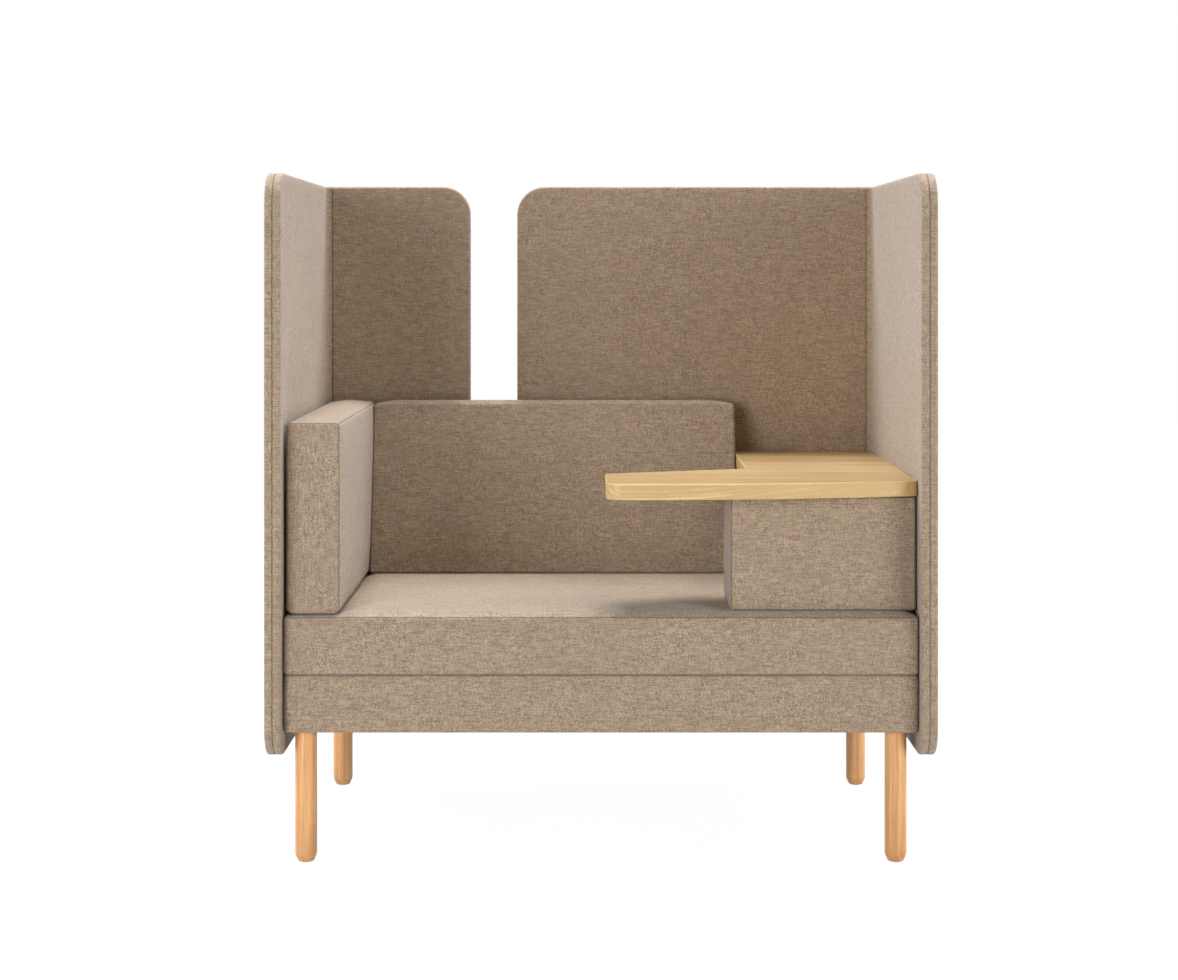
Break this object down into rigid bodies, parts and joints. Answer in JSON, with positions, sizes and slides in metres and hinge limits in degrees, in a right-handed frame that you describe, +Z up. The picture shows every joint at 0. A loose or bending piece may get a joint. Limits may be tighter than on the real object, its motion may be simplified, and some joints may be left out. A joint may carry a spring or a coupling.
{
  "type": "acoustic high back lounge chair",
  "caption": "Lounge chair for one with bent upholstered acoustic screens at its sides and back, an arm cushion, and a notched wood corner table on an upholstered block.",
  "frame": {"origin": "on the floor, below the middle of the bounding box", "axes": "+X to the right of someone who looks at the front, towards the table; +Y to the back of the chair; +Z up. The seated person faces -Y."},
  "size_m": [1.252, 0.772, 1.295],
  "materials": {
    "upholstery_fabric": "woven beige and brown melange wool with fine horizontal slubs",
    "foam": "cut polyurethane foam",
    "acoustic_felt": "pressed polyester felt",
    "plywood": "raw birch plywood",
    "frame_wood": "planed softwood",
    "oak": "oak with a clear matt lacquer",
    "beech": "turned beech with a clear satin lacquer",
    "steel": "zinc plated steel",
    "dark_steel": "black powder coated steel",
    "glide": "tan moulded nylon",
    "dust_sheet": "black spun-bonded sheet"
  },
  "bodies": {
    "root": {"left_screen_inner_cover": "upholstery_fabric", "left_screen_inner_felt": "acoustic_felt", "left_screen_core": "plywood", "left_screen_outer_felt": "acoustic_felt", "left_screen_outer_cover": "upholstery_fabric", "right_screen_inner_cover": "upholstery_fabric", "right_screen_inner_felt": "acoustic_felt", "right_screen_core": "plywood", "right_screen_outer_felt": "acoustic_felt", "right_screen_outer_cover": "upholstery_fabric", "base_rail_left": "frame_wood", "base_rail_right": "frame_wood", "base_rail_front": "frame_wood", "base_rail_rear": "frame_wood", "base_rail_middle": "frame_wood", "corner_block_front_left": "frame_wood", "corner_block_front_right": "frame_wood", "corner_block_rear_left": "frame_wood", "corner_block_rear_right": "frame_wood", "seat_deck": "plywood", "base_cover": "upholstery_fabric", "dust_sheet": "dust_sheet", "screen_bolt_left_front": "dark_steel", "screen_bolt_left_rear": "dark_steel", "screen_bolt_right_front": "dark_steel", "screen_bolt_right_rear": "dark_steel", "screen_bolt_back_left": "dark_steel", "screen_bolt_back_right": "dark_steel", "leg_front_left": "beech", "leg_front_right": "beech", "leg_rear_left": "beech", "leg_rear_right": "beech", "leg_insert_front_left": "steel", "leg_insert_front_right": "steel", "leg_insert_rear_left": "steel", "leg_insert_rear_right": "steel", "leg_stud_front_left": "steel", "leg_stud_front_right": "steel", "leg_stud_rear_left": "steel", "leg_stud_rear_right": "steel", "glide_front_left": "glide", "glide_front_right": "glide", "glide_rear_left": "glide", "glide_rear_right": "glide", "seat_cover": "upholstery_fabric", "seat_foam": "foam", "seat_board": "plywood", "arm_cover": "upholstery_fabric", "arm_foam": "foam", "arm_board": "plywood", "back_cover": "upholstery_fabric", "back_foam": "foam", "back_board": "plywood", "table_block_cover": "upholstery_fabric", "table_block_carcass": "plywood", "table_plate": "steel", "table_top": "oak", "table_bracket_rear": "dark_steel", "table_bracket_side": "dark_steel"}
  },
  "joints": []
}
